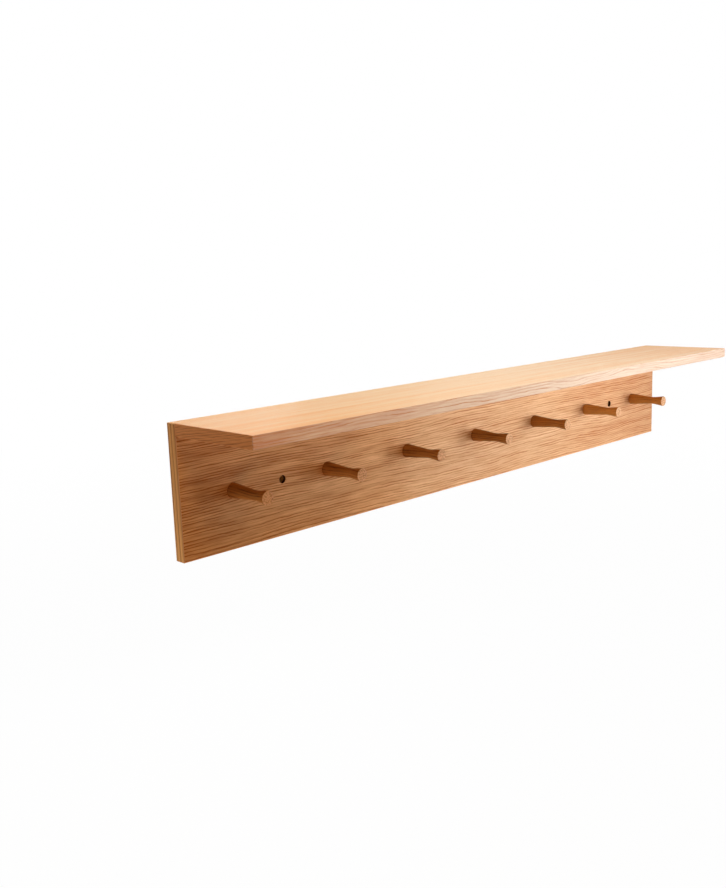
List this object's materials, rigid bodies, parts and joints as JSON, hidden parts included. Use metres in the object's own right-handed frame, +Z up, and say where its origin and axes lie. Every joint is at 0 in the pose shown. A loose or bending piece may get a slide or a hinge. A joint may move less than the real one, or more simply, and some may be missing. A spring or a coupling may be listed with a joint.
{
  "type": "shaker peg rail with shelf",
  "caption": "Wall-hung oak peg rail: a flat back panel with a row of turned, waisted pegs, two counterbored wall screw holes and a shelf flush along its top.",
  "frame": {"origin": "on the wall face, midway between the two wall screw holes", "axes": "+X to the right as one faces the rail, +Y into the wall, +Z up"},
  "size_m": [1.05, 0.152, 0.16],
  "materials": {
    "oak_face": "oiled oak veneer, satin",
    "oak_shelf": "oiled oak veneer, satin",
    "oak_band": "oiled oak edge band, satin",
    "oak_peg": "oiled solid oak, turned",
    "fibreboard": "raw fibreboard",
    "beech": "raw fluted dowel",
    "zinc_screw": "bright zinc plate"
  },
  "bodies": {
    "root": {"panel_core": "fibreboard", "panel_front_veneer": "oak_face", "panel_rear_veneer": "oak_face", "panel_top_band": "oak_band", "panel_bottom_band": "oak_band", "panel_left_band": "oak_band", "panel_right_band": "oak_band", "shelf_core": "fibreboard", "shelf_top_veneer": "oak_shelf", "shelf_bottom_veneer": "oak_shelf", "shelf_front_band": "oak_band", "shelf_left_band": "oak_band", "shelf_right_band": "oak_band", "peg_1": "oak_peg", "peg_2": "oak_peg", "peg_3": "oak_peg", "peg_4": "oak_peg", "peg_5": "oak_peg", "peg_6": "oak_peg", "peg_7": "oak_peg", "shelf_screw_1": "zinc_screw", "shelf_screw_2": "zinc_screw", "shelf_screw_3": "zinc_screw", "shelf_screw_4": "zinc_screw", "shelf_dowel_1": "beech", "shelf_dowel_2": "beech", "shelf_dowel_3": "beech"}
  },
  "joints": []
}
